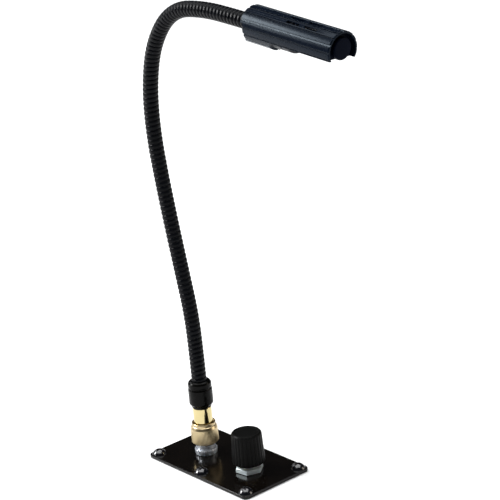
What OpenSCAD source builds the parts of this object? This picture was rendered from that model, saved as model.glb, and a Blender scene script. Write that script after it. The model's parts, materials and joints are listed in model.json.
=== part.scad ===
/* [Plate] */
// Length of the mounting plate
plate_l = 79; // [70:1:100]
// Width of the mounting plate
plate_w = 43.6; // [42:0.2:60]
// Thickness of the mounting plate
plate_t = 1.6; // [1.2:0.1:2.5]
// Corner radius of the mounting plate
plate_r = 2.8; // [2:0.2:3.6]
// Distance from the plate's middle to the jack's axis
jack_x = 17.2; // [16:0.1:20]
// Distance from the plate's middle to the dimmer's axis
dimmer_x = 17.7; // [16:0.1:20]
// Distance between the outer screws along the plate
screw_span_l = 70.2; // [62:0.2:71]
// Distance between the screw rows
screw_span_w = 35.2; // [33:0.2:36]
// Shank diameter of the plate screws
screw_d = 4; // [3.5:0.1:4]
// Length of the plate screws under the head
screw_l = 11; // [8:1:16]

/* [Dimmer knob] */
// Diameter of the knob at its lower edge
knob_d_low = 17.1; // [16:0.1:18]
// Diameter of the knob at its top
knob_d_top = 15.8; // [15:0.1:16.8]
// Height of the knob
knob_h = 16.6; // [14:0.2:20]
// Gap between the plate and the knob
knob_gap = 5; // [4.8:0.1:6]
// Number of flutes around the knob
knob_flutes = 26; // [18:1:36]

/* [Bayonet connector] */
// Outer diameter of the coupling ring
ring_d = 14.2; // [13.8:0.1:15.5]
// Height of the coupling ring's lower edge above the plate's underside
ring_z = 7.4; // [7:0.1:9]
// Diameter of the plug barrel above the coupling ring
barrel_d = 10; // [9.8:0.1:10.4]
// Diameter of the sleeve that covers the neck's lower end
sleeve_d = 12.8; // [12:0.1:13.6]

/* [Neck] */
// Outer diameter of the neck
neck_d = 8; // [7.4:0.1:8.4]
// Length of one neck link between two joints
link_l = 24.1; // [22:0.1:26]
// Height at which the neck leaves the sleeve
neck_z = 42; // [42:0.5:46]
// Radius of the ball on each link
ball_r = 2.6; // [2.4:0.05:2.7]

/* [Hood] */
// Outer diameter of the hood
hood_d = 17.6; // [17.4:0.1:20]
// Length of the hood
hood_l = 58.5; // [56:0.5:62]
// Number of flutes around the hood
hood_flutes = 16; // [12:2:20]
// Length of the window, from the hood's front end
window_l = 41.5; // [38:0.5:42]
// Distance from the hood's axis to the plane that cuts the window
window_drop = 3.9; // [3.6:0.1:5]

/* [Hidden] */
$fn = 64;

// Small overlap that makes two shapes of one solid join, and a sure margin for cuts
eps = 0.01;
cut = 1;
// Radial clearance of a piece that turns or slides in another
run = 0.06;

// Degrees that each neck link turns forward along its own length, from the lowest link up
link_turns = [-1.5, -9.2, 0, 1.2, 2.3, 9.8, 15, 26.7, 40, 10.3, 1.4];
link_count = len(link_turns);

// Screws
head_d = 7.6;
head_h = 2.6;
head_z = plate_t;
screw_neck_l = 2.2;

// Jack, measured from the plate's underside
jack_r = 4.8;
jack_bore_r = 4.1;
jack_mouth_z = 15.5;
jack_floor_z = 6.5;
jack_rear_z = -9;
flange_t = 2.5;
lug_z = 12.6;
lug_tip_r = 5.5;
dielectric_r = 2.4;
contact_r = 0.9;
pin_r = 0.675;
washer_t = 0.25;
jack_nut_r = 5.9;
jack_nut_t = 2.5;
jack_nut_slots = 12;

// Plug
gasket_t = 0.6;
plug_flange_z = jack_mouth_z + gasket_t;
plug_flange_t = 0.8;
wave_t = 0.8;
ring_back_z = plug_flange_z + plug_flange_t + wave_t;
ring_top_z = 19.15;
ring_grip_z = 15.9;
barrel_r = barrel_d / 2;
barrel_top_z = 27.7;
crimp_r = 4.3;
crimp_z = 35;
core_r = 3.25;
sleeve_r = sleeve_d / 2;

// Dimmer, measured from the plate's underside
pot_r = 8.2;
pot_depth = 9.5;
pot_wall = 0.8;
bushing_r = 3.5;
bushing_top_z = 6.2;
shaft_r = 3;
shaft_top_z = 19.5;
track_z = -pot_depth + pot_wall;
track_t = 0.8;
tag_z = -7.6;
tag_t = 0.8;
tag_w = 2;
tag_tip = 13.5;
tag_pitch = 5;
pot_nut_af = 12.7;
pot_nut_t = 2.5;
knob_z = plate_t + knob_gap;
knob_top_z = knob_z + knob_h;
insert_r = 4.2;
set_screw_z = knob_z + 5;

// Neck
neck_r = neck_d / 2;
socket_r = ball_r + run;
lip_l = 1.3;
collar_l = 1;
collar_step = 0.08;
stalk_l = 2.6;
stalk_r = 1.5;
lead_bore_r = 0.9;
link_bore_r = 2.6;

// Head, measured along its axis from the hood's rear end
hood_r = hood_d / 2;
hood_bore_r = 7.7;
hood_turn = -2.5;
groove_depth = 0.42;
land_angle = 16.5;
socket_body_r = hood_bore_r - 0.1;
socket_front = 30.4;
socket_edge = 1;
lamp_socket_r = 5.2;
lamp_socket_l = 5;
ferrule_r = 5.4;
ferrule_l = 6;
ring_groove_z = 10;
ring_groove_w = 2;
ring_groove_r = 6.7;
lamp_r = 3.5;
lamp_foot = socket_front + 0.3;
lamp_foot_l = 3;
lamp_tip = 47.5;
glass_t = 0.5;
pin_pitch = 4;
lamp_pin_r = 0.35;
lamp_pin_l = 4.4;
cap_z = hood_l - 4;
cap_web = 2;
boss_r = 5.2;
boss_rise = 0.8;
cap_drop = 3.8;
window_corner_r = 4.5;
rim_chamfer = 0.45;
side_notch_l = 1.6;
side_notch_a = [258, 322];
vent_w = 1.4;
vent_l = 8.5;
vent_fronts = [11.5, 23];
vent_angles = [-33.75, -11.25, 11.25, 33.75];

// Where link i starts and which way it points, from the links below it
function link_heading(i) = i == 0 ? 0 : link_heading(i - 1) + link_turns[i - 1];
function link_chord(turn) = turn == 0 ? [0, link_l]
    : let(r = link_l * 180 / (PI * turn)) [r * (1 - cos(turn)), r * sin(turn)];
function turned(v, a) = [v[0] * cos(a) + v[1] * sin(a), v[1] * cos(a) - v[0] * sin(a)];
function link_start(i) = i == 0 ? [-jack_x, neck_z]
    : link_start(i - 1) + turned(link_chord(link_turns[i - 1]), link_heading(i - 1));

module tube(r_out, r_in, z0, z1) {
    translate([0, 0, z0]) difference() {
        cylinder(r = r_out, h = z1 - z0);
        translate([0, 0, -cut]) cylinder(r = r_in, h = z1 - z0 + 2 * cut);
    }
}

module rod(r, z0, z1) {
    translate([0, 0, z0]) cylinder(r = r, h = z1 - z0);
}

module hexagon(across_flats, z0, z1) {
    translate([0, 0, z0]) cylinder(r = across_flats / sqrt(3), h = z1 - z0, $fn = 6);
}

module at_jack() {
    translate([-jack_x, 0, 0]) children();
}

module at_dimmer() {
    translate([dimmer_x, 0, 0]) children();
}

// The head's frame: z runs forward from the hood's rear end, x points down
module at_head() {
    end = link_start(link_count);
    translate([end[0], 0, end[1]]) rotate([0, link_heading(link_count), 0]) children();
}

// The hood's frame: the head's, turned a little about its axis
module at_hood() {
    at_head() rotate([0, 0, hood_turn]) children();
}

module screw_places() {
    for (x = [-1, 0, 1], y = [-1, 1])
        translate([x * screw_span_l / 2, y * screw_span_w / 2, 0]) children();
}

module hex_nut(across_flats, bore_r, z0, z1) {
    chamfer_r = across_flats / 2 * 1.06;
    difference() {
        intersection() {
            hexagon(across_flats, z0, z1);
            rotate_extrude() polygon([[0, z0], [chamfer_r + 1, z0], [chamfer_r + 1, z1 - 0.9],
                [chamfer_r - 0.3, z1], [0, z1]]);
        }
        rod(bore_r, z0 - cut, z1 + cut);
    }
}

// ---- base ----

module mounting_plate() {
    color("#17181a") difference() {
        linear_extrude(plate_t) difference() {
            union() {
                square([plate_l - 2 * plate_r, plate_w], center = true);
                square([plate_l, plate_w - 2 * plate_r], center = true);
                for (x = [-1, 1], y = [-1, 1])
                    translate([x * (plate_l / 2 - plate_r), y * (plate_w / 2 - plate_r)]) circle(plate_r);
            }
            translate([-jack_x, 0]) circle(jack_r + 0.05);
            translate([dimmer_x, 0]) circle(bushing_r + 0.05);
        }
        screw_places() rod(screw_d / 2 + 0.15, -cut, plate_t + cut);
    }
}

module plate_screw() {
    dome_r = (pow(head_d / 2, 2) + head_h * head_h) / (2 * head_h);
    translate([0, 0, head_z]) difference() {
        union() {
            intersection() {
                translate([0, 0, head_h - dome_r]) sphere(dome_r);
                rod(head_d / 2, 0, head_h);
            }
            rod(screw_d / 2 - 0.4, -screw_neck_l - eps, eps);
            rod(screw_d / 2, -screw_l, -screw_neck_l);
            translate([0, 0, -screw_l - 1]) cylinder(r1 = screw_d / 4, r2 = screw_d / 2, h = 1);
        }
        for (a = [0, 90])
            rotate([0, 0, a + 20]) translate([-1.8, -0.4, head_h - 1.3]) cube([3.6, 0.8, 2]);
    }
}

module plate_screws() {
    color("#101113") screw_places() plate_screw();
}

module jack_body() {
    color("#b9bcc0") at_jack() {
        difference() {
            rotate_extrude() polygon([[dielectric_r, jack_rear_z], [3.7, jack_rear_z], [3.7, -flange_t],
                [6.4, -flange_t], [6.4, 0], [jack_r - 0.05, 0], [jack_r, plate_t], [jack_r, jack_mouth_z - 0.3],
                [jack_r - 0.3, jack_mouth_z], [jack_bore_r, jack_mouth_z], [jack_bore_r, jack_floor_z],
                [dielectric_r, jack_floor_z]]);
        }
        for (side = [0, 180])
            rotate([0, 0, side + 45]) translate([jack_bore_r + 0.3, 0, lug_z]) rotate([0, 90, 0])
                cylinder(r = 1, h = lug_tip_r - jack_bore_r - 0.3, $fn = 32);
    }
}

module jack_insulator() {
    color("#f2efe6") at_jack() rotate_extrude() polygon([[contact_r, jack_rear_z], [dielectric_r, jack_rear_z],
        [dielectric_r, jack_floor_z + 8.3], [contact_r, jack_floor_z + 8.3]]);
}

module jack_contact() {
    color("#c9a44a") at_jack() difference() {
        rod(contact_r, jack_rear_z - 3, jack_mouth_z - 2.4);
        rod(pin_r + run, jack_floor_z + 1.5, jack_mouth_z);
        rod(0.6, jack_rear_z - 3 - cut, jack_rear_z - 1.2);
    }
}

module jack_washer() {
    color("#aeb1b5") at_jack() tube(jack_nut_r - 0.2, jack_r + 0.05, plate_t, plate_t + washer_t);
}

// A round nut with slots for a hook spanner
module jack_nut() {
    z0 = plate_t + washer_t;
    z1 = z0 + jack_nut_t;
    color("#c3c6ca") at_jack() difference() {
        rotate_extrude() polygon([[jack_r + 0.03, z0], [jack_nut_r, z0], [jack_nut_r, z1 - 0.4],
            [jack_nut_r - 0.4, z1], [jack_r + 0.03, z1]]);
        for (i = [0 : jack_nut_slots - 1])
            rotate([0, 0, 9 + i * 360 / jack_nut_slots]) translate([jack_nut_r - 0.45, -0.4, z0 - cut])
                cube([1, 0.8, jack_nut_t + 2 * cut]);
    }
}

module jack_lug() {
    tip = 15;
    z1 = -flange_t;
    color("#c8b873") at_jack() difference() {
        union() {
            tube(5.4, 3.75, z1 - 0.5, z1);
            translate([4.6, -1.2, z1 - 0.5]) cube([tip - 4.6, 2.4, 0.5]);
        }
        translate([tip - 1.7, 0, 0]) rod(0.6, z1 - 0.5 - cut, z1 + cut);
    }
}

module pot_housing() {
    color("#8f9398") at_dimmer() difference() {
        rod(pot_r, -pot_depth, -pot_wall);
        rod(pot_r - pot_wall, -pot_depth + pot_wall, 0);
        for (i = [-1 : 1])
            translate([-pot_r - cut, i * tag_pitch - tag_w / 2, tag_z])
                cube([pot_r, tag_w, tag_t]);
    }
}

module pot_bushing() {
    color("#b4b6b8") at_dimmer() difference() {
        union() {
            rod(pot_r, -pot_wall, 0);
            rod(bushing_r, -eps, bushing_top_z - 0.4);
            translate([0, 0, bushing_top_z - 0.4]) cylinder(r1 = bushing_r, r2 = bushing_r - 0.4, h = 0.4);
        }
        rod(shaft_r + run, -pot_wall - cut, bushing_top_z + cut);
    }
}

module pot_track() {
    color("#3b2b22") at_dimmer() difference() {
        tube(pot_r - pot_wall, 3.6, track_z, track_z + track_t);
        translate([5.2, -1, track_z - cut]) cube([4, 2, track_t + 2 * cut]);
    }
}

module pot_terminals() {
    color("#cdbb7a") at_dimmer() for (i = [-1 : 1]) difference() {
        translate([-tag_tip, i * tag_pitch - tag_w / 2, tag_z]) cube([tag_tip - pot_r + 2.2, tag_w, tag_t]);
        translate([-tag_tip + 1.4, i * tag_pitch, 0]) rod(0.55, tag_z - cut, tag_z + tag_t + cut);
    }
}

module pot_washer() {
    color("#b9bcc0") at_dimmer() tube(6, bushing_r + 0.05, plate_t, plate_t + washer_t);
}

module pot_nut() {
    z0 = plate_t + washer_t;
    color("#d2d5d8") at_dimmer() rotate([0, 0, 8]) hex_nut(pot_nut_af, bushing_r + 0.03, z0, z0 + pot_nut_t);
}

// A round wire through a list of points, with slightly fuller ball corners
module wire(points, r) {
    for (i = [0 : len(points) - 2]) {
        span = points[i + 1] - points[i];
        translate(points[i]) rotate([0, acos(span[2] / norm(span)), atan2(span[1], span[0])])
            cylinder(r = r, h = norm(span), $fn = 24);
    }
    for (i = [1 : len(points) - 2])
        translate(points[i]) sphere(r * 1.06, $fn = 24);
}

module signal_wire() {
    tag_x = dimmer_x - tag_tip + 1.4;
    color("#a33127") wire([[tag_x, 0, tag_z + 1], [tag_x, 0, -12], [-jack_x + 4, 0, -14.5], [-jack_x, 0, -14.5],
        [-jack_x, 0, jack_rear_z - 1.4]], 0.5);
}

module ground_wire() {
    tag_x = dimmer_x - tag_tip + 1.4;
    color("#1f1f1f") wire([[tag_x, -tag_pitch, tag_z + 1], [tag_x, -tag_pitch, -10], [-2, -tag_pitch, -10],
        [-jack_x + 13.3, 0, -6], [-jack_x + 13.3, 0, -2]], 0.5);
}

// ---- knob ----

module dimmer_knob() {
    r_low = knob_d_low / 2;
    r_top = knob_d_top / 2;
    lean = atan((r_low - r_top) / knob_h);
    color("#1b1c1e") at_dimmer() difference() {
        rotate_extrude() polygon([[insert_r, knob_z + 1], [insert_r, knob_top_z - 3.2], [0, knob_top_z - 3.2],
            [0, knob_top_z - 0.35], [r_top - 1.6, knob_top_z - 0.35], [r_top - 1.3, knob_top_z],
            [r_top - 0.8, knob_top_z], [r_top - 0.1, knob_top_z - 0.7], [r_low, knob_z + 0.3],
            [r_low - 0.3, knob_z], [r_low - 1.3, knob_z], [r_low - 1.3, knob_z + 1]]);
        for (i = [0 : knob_flutes - 1])
            rotate([0, 0, i * 360 / knob_flutes]) translate([r_low + 0.32, 0, knob_z - cut])
                rotate([0, -lean, 0]) cylinder(r = 0.62, h = knob_h - 1 + cut, $fn = 16);
        translate([0, 0, set_screw_z]) rotate([90, 0, 0]) cylinder(r = 1.5, h = r_low + cut, $fn = 32);
    }
}

module knob_insert() {
    color("#c6a65a") at_dimmer() difference() {
        rod(insert_r, knob_z + 1, knob_top_z - 3.2);
        rod(shaft_r, knob_z, shaft_top_z);
        translate([0, 0, set_screw_z]) rotate([90, 0, 0]) cylinder(r = 1.5, h = 10, $fn = 32);
    }
}

module knob_set_screw() {
    color("#55585c") at_dimmer() translate([0, -shaft_r, set_screw_z]) rotate([90, 0, 0]) difference() {
        cylinder(r = 1.5, h = 3.6, $fn = 32);
        translate([-2, -0.25, 2.9]) cube([4, 0.5, 1]);
    }
}

module pot_shaft() {
    color("#d0d2d4") at_dimmer() difference() {
        union() {
            rod(shaft_r, -6, shaft_top_z);
            rod(shaft_r + 0.5, -1.7, -pot_wall - 0.1);
        }
        translate([-0.3, -4, shaft_top_z - 3]) cube([0.6, 8, 3 + cut]);
    }
}

module pot_wiper() {
    arm = 6;
    color("#c9a44a") at_dimmer() {
        tube(4.2, shaft_r, -5, -3.8);
        translate([-arm, -1, -5]) cube([arm - shaft_r - 0.4, 2, 0.6]);
        translate([-arm, -1, track_z + track_t + 0.08]) cube([0.6, 2, -4.9 - track_z - track_t]);
    }
}

// ---- plug ----

module plug_gasket() {
    color("#7c3a2c") at_jack() tube(jack_r - 0.05, jack_bore_r + 0.02, jack_mouth_z + 0.02, plug_flange_z - 0.02);
}

module wave_washer() {
    z0 = plug_flange_z + plug_flange_t + 0.02;
    color("#9fa3a8") at_jack() tube(lug_tip_r, barrel_r + 0.12, z0, ring_back_z - 0.02);
}

module coupling_ring() {
    r = ring_d / 2;
    bore_r = lug_tip_r + 0.15;
    neck_bore_r = barrel_r + run;
    knurls = 48;
    color("#c9b18a") at_jack() difference() {
        rotate_extrude() polygon([[bore_r, ring_z], [r - 0.6, ring_z], [r, ring_z + 0.7],
            [r, ring_grip_z], [r - 0.6, ring_grip_z + 1.4], [r - 0.95, ring_grip_z + 1.6],
            [r - 0.95, ring_grip_z + 1.9], [r - 0.75, ring_grip_z + 2.05], [r - 0.75, ring_top_z - 0.35],
            [r - 1.1, ring_top_z], [neck_bore_r, ring_top_z], [neck_bore_r, ring_back_z],
            [bore_r, ring_back_z]]);
        for (i = [0 : knurls - 1])
            rotate([0, 0, i * 360 / knurls]) translate([r + 0.22, 0, ring_z + 1.2])
                cylinder(r = 0.36, h = ring_grip_z - ring_z - 2.2, $fn = 8);
    }
}

module plug_body() {
    color("#d8cfa8") at_jack() rotate_extrude() polygon([[2.6, 7.6], [jack_bore_r - run, 7.6],
        [jack_bore_r - run, plug_flange_z], [lug_tip_r, plug_flange_z],
        [lug_tip_r, plug_flange_z + plug_flange_t], [barrel_r, plug_flange_z + plug_flange_t],
        [barrel_r, barrel_top_z - 0.4], [barrel_r - 0.15, barrel_top_z], [crimp_r, barrel_top_z], [crimp_r, crimp_z],
        [core_r, crimp_z], [core_r, barrel_top_z - 2], [2, barrel_top_z - 2], [2, plug_flange_z],
        [2.6, plug_flange_z]]);
}

module plug_insulator() {
    color("#f2efe6") at_jack() tube(2, contact_r, plug_flange_z, barrel_top_z - 2);
}

module plug_pin() {
    color("#d1ab50") at_jack() {
        rod(contact_r, plug_flange_z, barrel_top_z - 2);
        rod(pin_r, 9.6, plug_flange_z + eps);
        translate([0, 0, 9]) cylinder(r1 = 0.25, r2 = pin_r, h = 0.6 + eps);
    }
}

module strain_sleeve() {
    r = sleeve_r;
    top_z = neck_z + 0.5;
    color("#1a1b1c") at_jack() rotate_extrude() polygon([[crimp_r, barrel_top_z], [barrel_r + 0.1, barrel_top_z],
        [r - 0.1, barrel_top_z + 1.9], [r, barrel_top_z + 2.6], [r, top_z - 4.6], [r - 0.4, top_z - 3.9],
        [r - 0.45, top_z - 3.6], [r - 0.2, top_z - 3.2], [r - 0.3, top_z - 1.2], [r - 0.8, top_z - 0.4],
        [r - 1.5, top_z], [neck_r, top_z], [neck_r, crimp_z], [crimp_r, crimp_z]]);
}

// ---- neck ----

// A curved round bar of radius r that bends forward by turn over link_l, from s0 to s1 along it
module bent_bar(turn, r, s0, s1) {
    if (turn == 0) {
        rod(r, s0, s1);
    } else {
        bend_r = link_l * 180 / (PI * abs(turn));
        a0 = abs(turn) * s0 / link_l;
        a1 = abs(turn) * s1 / link_l;
        mirror([turn < 0 ? 1 : 0, 0, 0]) translate([bend_r, 0, 0]) rotate([90, 0, 0])
            rotate([0, 0, 180 - a1]) rotate_extrude(angle = a1 - a0) translate([bend_r, 0]) circle(r, $fn = 32);
    }
}

// Places its children at the far end of a link
module at_link_end(turn) {
    chord = link_chord(turn);
    translate([chord[0], 0, chord[1]]) rotate([0, turn, 0]) children();
}

module at_link(i) {
    start = link_start(i);
    translate([start[0], 0, start[1]]) rotate([0, link_heading(i), 0]) children();
}

module neck_link(i) {
    turn = link_turns[i];
    first = i == 0;
    last = i == link_count - 1;
    tube_s0 = first ? 0 : stalk_l + collar_l;
    tube_s1 = last ? link_l - collar_l : link_l - ball_r - collar_l;
    color("#202229") at_link(i) difference() {
        union() {
            bent_bar(turn, neck_r - collar_step, first ? -eps : stalk_l + collar_l / 2, link_l);
            if (first) {
                rod(neck_r, crimp_z - neck_z, collar_l);
                rod(core_r, barrel_top_z - 2 - neck_z, crimp_z - neck_z + eps);
            } else {
                sphere(ball_r);
                rod(stalk_r, 0, stalk_l + collar_l / 2);
                rod(neck_r, stalk_l, stalk_l + collar_l);
            }
            if (!last) at_link_end(turn) rod(neck_r, -collar_l, lip_l);
        }
        bent_bar(turn, link_bore_r, tube_s0, tube_s1);
        if (first)
            rod(link_bore_r - collar_step, barrel_top_z - 2 - neck_z - cut, cut);
        else
            rod(lead_bore_r, -ball_r - cut, tube_s0 + cut / 2);
        at_link_end(turn) {
            rod(lead_bore_r, tube_s1 - link_l - cut / 2, last ? cut : 0);
            if (!last) sphere(socket_r);
        }
    }
}

// ---- head ----

module neck_ferrule() {
    color("#2b2f38") at_head() difference() {
        tube(ferrule_r, lead_bore_r + 0.5, 0, ferrule_l);
    }
}

module socket_body() {
    r = socket_body_r;
    color("#23262e") at_head() rotate_extrude() polygon([[ferrule_r, 0.4], [r - 0.4, 0.4], [r, 0.8],
        [r, ring_groove_z], [ring_groove_r, ring_groove_z], [ring_groove_r, ring_groove_z + ring_groove_w],
        [r, ring_groove_z + ring_groove_w], [r, socket_front - socket_edge],
        [r - 0.3 * socket_edge, socket_front - 0.3 * socket_edge], [r - socket_edge, socket_front],
        [lamp_socket_r, socket_front], [lamp_socket_r, socket_front - lamp_socket_l], [3, socket_front - lamp_socket_l],
        [3, ferrule_l], [ferrule_r, ferrule_l]]);
}

module pin_places() {
    for (y = [-1, 1]) translate([0, y * pin_pitch / 2, 0]) children();
}

module lamp_socket() {
    z0 = socket_front - lamp_socket_l;
    color("#e8e4da") at_head() difference() {
        rod(lamp_socket_r, z0, socket_front);
        pin_places() rod(1, z0 - cut, socket_front + cut);
    }
}

module socket_contacts() {
    z0 = socket_front - lamp_socket_l;
    color("#c9a44a") at_head() pin_places() tube(1, lamp_pin_r + run, z0, socket_front - 0.3);
}

module head_leads() {
    z1 = socket_front - lamp_socket_l;
    color("#a33127") at_head() for (side = [-1, 1])
        wire([[0, side * 0.62, 0.5], [0, side * 0.62, z1 - 6], [0, side * pin_pitch / 2, z1 - 3],
            [0, side * pin_pitch / 2, z1]], 0.5);
}

module lamp_base() {
    color("#d9d6cc") at_head() difference() {
        rod(lamp_r, lamp_foot, lamp_foot + lamp_foot_l);
        pin_places() rod(lamp_pin_r, lamp_foot - cut, lamp_foot + lamp_foot_l + cut);
    }
}

// An outline with a round nose: a tube wall that closes over the end
module nose_profile(r, z0, z1) {
    translate([0, z0]) square([r, z1 - r - z0]);
    translate([0, z1 - r]) intersection() {
        circle(r);
        square([r, r]);
    }
}

module lamp_glass() {
    z0 = lamp_foot + lamp_foot_l;
    color("#dfe8ee", 0.4) at_head() rotate_extrude() difference() {
        nose_profile(lamp_r, z0, lamp_tip);
        translate([0, -cut]) nose_profile(lamp_r - glass_t, z0, lamp_tip + cut - glass_t);
    }
}

module lamp_filament() {
    z0 = lamp_foot + lamp_foot_l;
    coil_z = z0 + 5;
    color("#a8aab0") at_head() {
        pin_places() rod(0.22, z0, coil_z + 0.2);
        translate([0, -pin_pitch / 2, coil_z]) rotate([-90, 0, 0]) cylinder(r = 0.45, h = pin_pitch, $fn = 32);
    }
}

module lamp_pins() {
    color("#c7c9cc") at_head() pin_places() rod(lamp_pin_r, lamp_foot - lamp_pin_l, lamp_foot + lamp_foot_l);
}

module hood_ring() {
    color("#3a3a3c") at_head() difference() {
        tube(hood_bore_r - 0.03, ring_groove_r + 0.05, ring_groove_z + 0.05, ring_groove_z + ring_groove_w - 0.05);
        translate([0, -0.5, ring_groove_z - cut]) cube([10, 1, ring_groove_w + 2 * cut]);
    }
}

// The hood's cross-section: round, with shallow grooves between its lands
module hood_section() {
    pitch = 360 / hood_flutes;
    groove_w = 2 * hood_r * sin((pitch - land_angle) / 2);
    difference() {
        circle(hood_r, $fn = 96);
        circle(hood_bore_r, $fn = 96);
        for (i = [0 : hood_flutes - 1])
            rotate(i * pitch) translate([hood_r - groove_depth, -groove_w / 2]) square([2, groove_w]);
    }
}

// The window: flat on the cut plane, with a round corner at its rear end
module window_cut() {
    z0 = hood_l - window_l;
    c = window_corner_r;
    translate([window_drop, -hood_r - cut, z0 + c]) cube([hood_r, 2 * (hood_r + cut), window_l - c + cut]);
    translate([window_drop + c, -hood_r - cut, z0]) cube([hood_r, 2 * (hood_r + cut), c + cut]);
    translate([window_drop + c, 0, z0 + c]) rotate([90, 0, 0])
        cylinder(r = c, h = 2 * (hood_r + cut), center = true);
}

// A wedge that removes the wall between two angles about the axis
module wall_sector(from, to, z1) {
    translate([0, 0, -cut]) linear_extrude(z1 + cut)
        polygon(concat([[0, 0]], [for (a = [from, (from + to) / 2, to]) 2 * hood_r * [cos(a), sin(a)]]));
}

module hood_shell() {
    color("#262b38") at_hood() difference() {
        linear_extrude(hood_l) hood_section();
        window_cut();
        rotate_extrude() polygon([[hood_r + 0.05, hood_l - rim_chamfer - 0.05], [hood_r + cut, hood_l - rim_chamfer - 0.05],
            [hood_r + cut, hood_l + cut], [hood_r - rim_chamfer - cut, hood_l + cut]]);
        wall_sector(side_notch_a[0], side_notch_a[1], side_notch_l);
        wall_sector(-side_notch_a[1], -side_notch_a[0], side_notch_l);
        for (a = vent_angles, front = vent_fronts)
            rotate([0, 0, 180 + a]) translate([hood_bore_r - cut, 0, hood_l - front - vent_l]) {
                translate([0, -vent_w / 2, vent_w / 2]) cube([3, vent_w, vent_l - vent_w]);
                for (z = [vent_w / 2, vent_l - vent_w / 2])
                    translate([0, 0, z]) rotate([0, 90, 0]) cylinder(r = vent_w / 2, h = 3, $fn = 24);
            }
    }
}

module hood_cap() {
    color("#1d2130") at_hood() {
        difference() {
            rod(hood_bore_r, cap_z, cap_z + cap_web);
            translate([cap_drop, -hood_r, cap_z - cut]) cube([hood_r, 2 * hood_r, cap_web + 2 * cut]);
        }
        translate([-boss_rise, 0, cap_z]) rotate_extrude() polygon([[0, 0], [boss_r, 0], [boss_r, hood_l - cap_z - 0.8],
            [boss_r - 0.25, hood_l - cap_z - 0.3], [boss_r - 0.8, hood_l - cap_z], [0, hood_l - cap_z]]);
    }
}

mounting_plate();
plate_screws();
jack_body();
jack_insulator();
jack_contact();
jack_washer();
jack_nut();
jack_lug();
pot_housing();
pot_bushing();
pot_track();
pot_terminals();
pot_washer();
pot_nut();
signal_wire();
ground_wire();
dimmer_knob();
knob_insert();
knob_set_screw();
pot_shaft();
pot_wiper();
plug_gasket();
wave_washer();
coupling_ring();
plug_body();
plug_insulator();
plug_pin();
strain_sleeve();
neck_link(0);  // neck_link_1
neck_link(1);  // neck_link_2
neck_link(2);  // neck_link_3
neck_link(3);  // neck_link_4
neck_link(4);  // neck_link_5
neck_link(5);  // neck_link_6
neck_link(6);  // neck_link_7
neck_link(7);  // neck_link_8
neck_link(8);  // neck_link_9
neck_link(9);  // neck_link_10
neck_link(10);  // neck_link_11
neck_ferrule();
socket_body();
lamp_socket();
socket_contacts();
head_leads();
lamp_base();
lamp_glass();
lamp_filament();
lamp_pins();
hood_ring();
hood_shell();
hood_cap();
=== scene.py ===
import json
import math

import bmesh
import bpy
import numpy as np
from mathutils import Matrix, Vector, noise


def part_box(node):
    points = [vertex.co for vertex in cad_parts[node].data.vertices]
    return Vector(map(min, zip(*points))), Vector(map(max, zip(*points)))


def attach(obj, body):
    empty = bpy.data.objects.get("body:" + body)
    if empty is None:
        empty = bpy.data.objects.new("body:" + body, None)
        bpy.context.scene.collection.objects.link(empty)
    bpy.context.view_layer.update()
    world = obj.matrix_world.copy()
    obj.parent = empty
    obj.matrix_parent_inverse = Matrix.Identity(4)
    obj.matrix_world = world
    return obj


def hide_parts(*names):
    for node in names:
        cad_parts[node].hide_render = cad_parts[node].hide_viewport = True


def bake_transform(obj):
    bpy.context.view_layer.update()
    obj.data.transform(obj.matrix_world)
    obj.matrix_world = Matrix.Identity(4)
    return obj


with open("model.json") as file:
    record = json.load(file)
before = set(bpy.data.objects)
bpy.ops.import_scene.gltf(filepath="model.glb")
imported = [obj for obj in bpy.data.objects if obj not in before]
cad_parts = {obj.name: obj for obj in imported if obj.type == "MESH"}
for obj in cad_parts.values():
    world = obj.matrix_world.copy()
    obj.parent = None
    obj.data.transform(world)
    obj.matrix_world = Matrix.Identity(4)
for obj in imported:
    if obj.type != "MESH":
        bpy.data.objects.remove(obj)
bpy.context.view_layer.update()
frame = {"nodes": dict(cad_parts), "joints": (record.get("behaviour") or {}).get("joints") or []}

MM = 0.001
TAU = 2 * math.pi

# ---------------------------------------------------------------- camera

CAMERA_PLACE = (0.6809, -0.5228, 0.4091)
CAMERA_HEADING = math.radians(141.04)
CAMERA_PITCH = math.radians(-18.90)
CAMERA_ROLL = math.radians(-5.286)
CAMERA_LENS = 131.06
SENSOR = 36.0


def make_camera():
    data = bpy.data.cameras.new("camera")
    data.lens = CAMERA_LENS
    data.sensor_width = SENSOR
    data.clip_start = 0.01
    data.clip_end = 50.0
    cam = bpy.data.objects.new("camera", data)
    bpy.context.scene.collection.objects.link(cam)
    heading, pitch = CAMERA_HEADING, CAMERA_PITCH
    flat = math.cos(pitch)
    forward = Vector((math.cos(heading) * flat, math.sin(heading) * flat, math.sin(pitch)))
    level = Vector((math.sin(heading), -math.cos(heading), 0))
    upright = level.cross(forward)
    right = level * math.cos(CAMERA_ROLL) + upright * math.sin(CAMERA_ROLL)
    up = upright * math.cos(CAMERA_ROLL) - level * math.sin(CAMERA_ROLL)
    turn = Matrix((right, up, -forward)).transposed()
    cam.matrix_world = Matrix.Translation(CAMERA_PLACE) @ turn.to_4x4()
    bpy.context.scene.camera = cam


make_camera()

# ---------------------------------------------------------------- places from the frame, in mm


def box_mm(node):
    low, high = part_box(node)
    return low / MM, high / MM


def joint(name):
    return next(j for j in frame["joints"] if j["name"] == name)


def centre_x(node):
    low, high = box_mm(node)
    return (low.x + high.x) / 2


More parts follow.
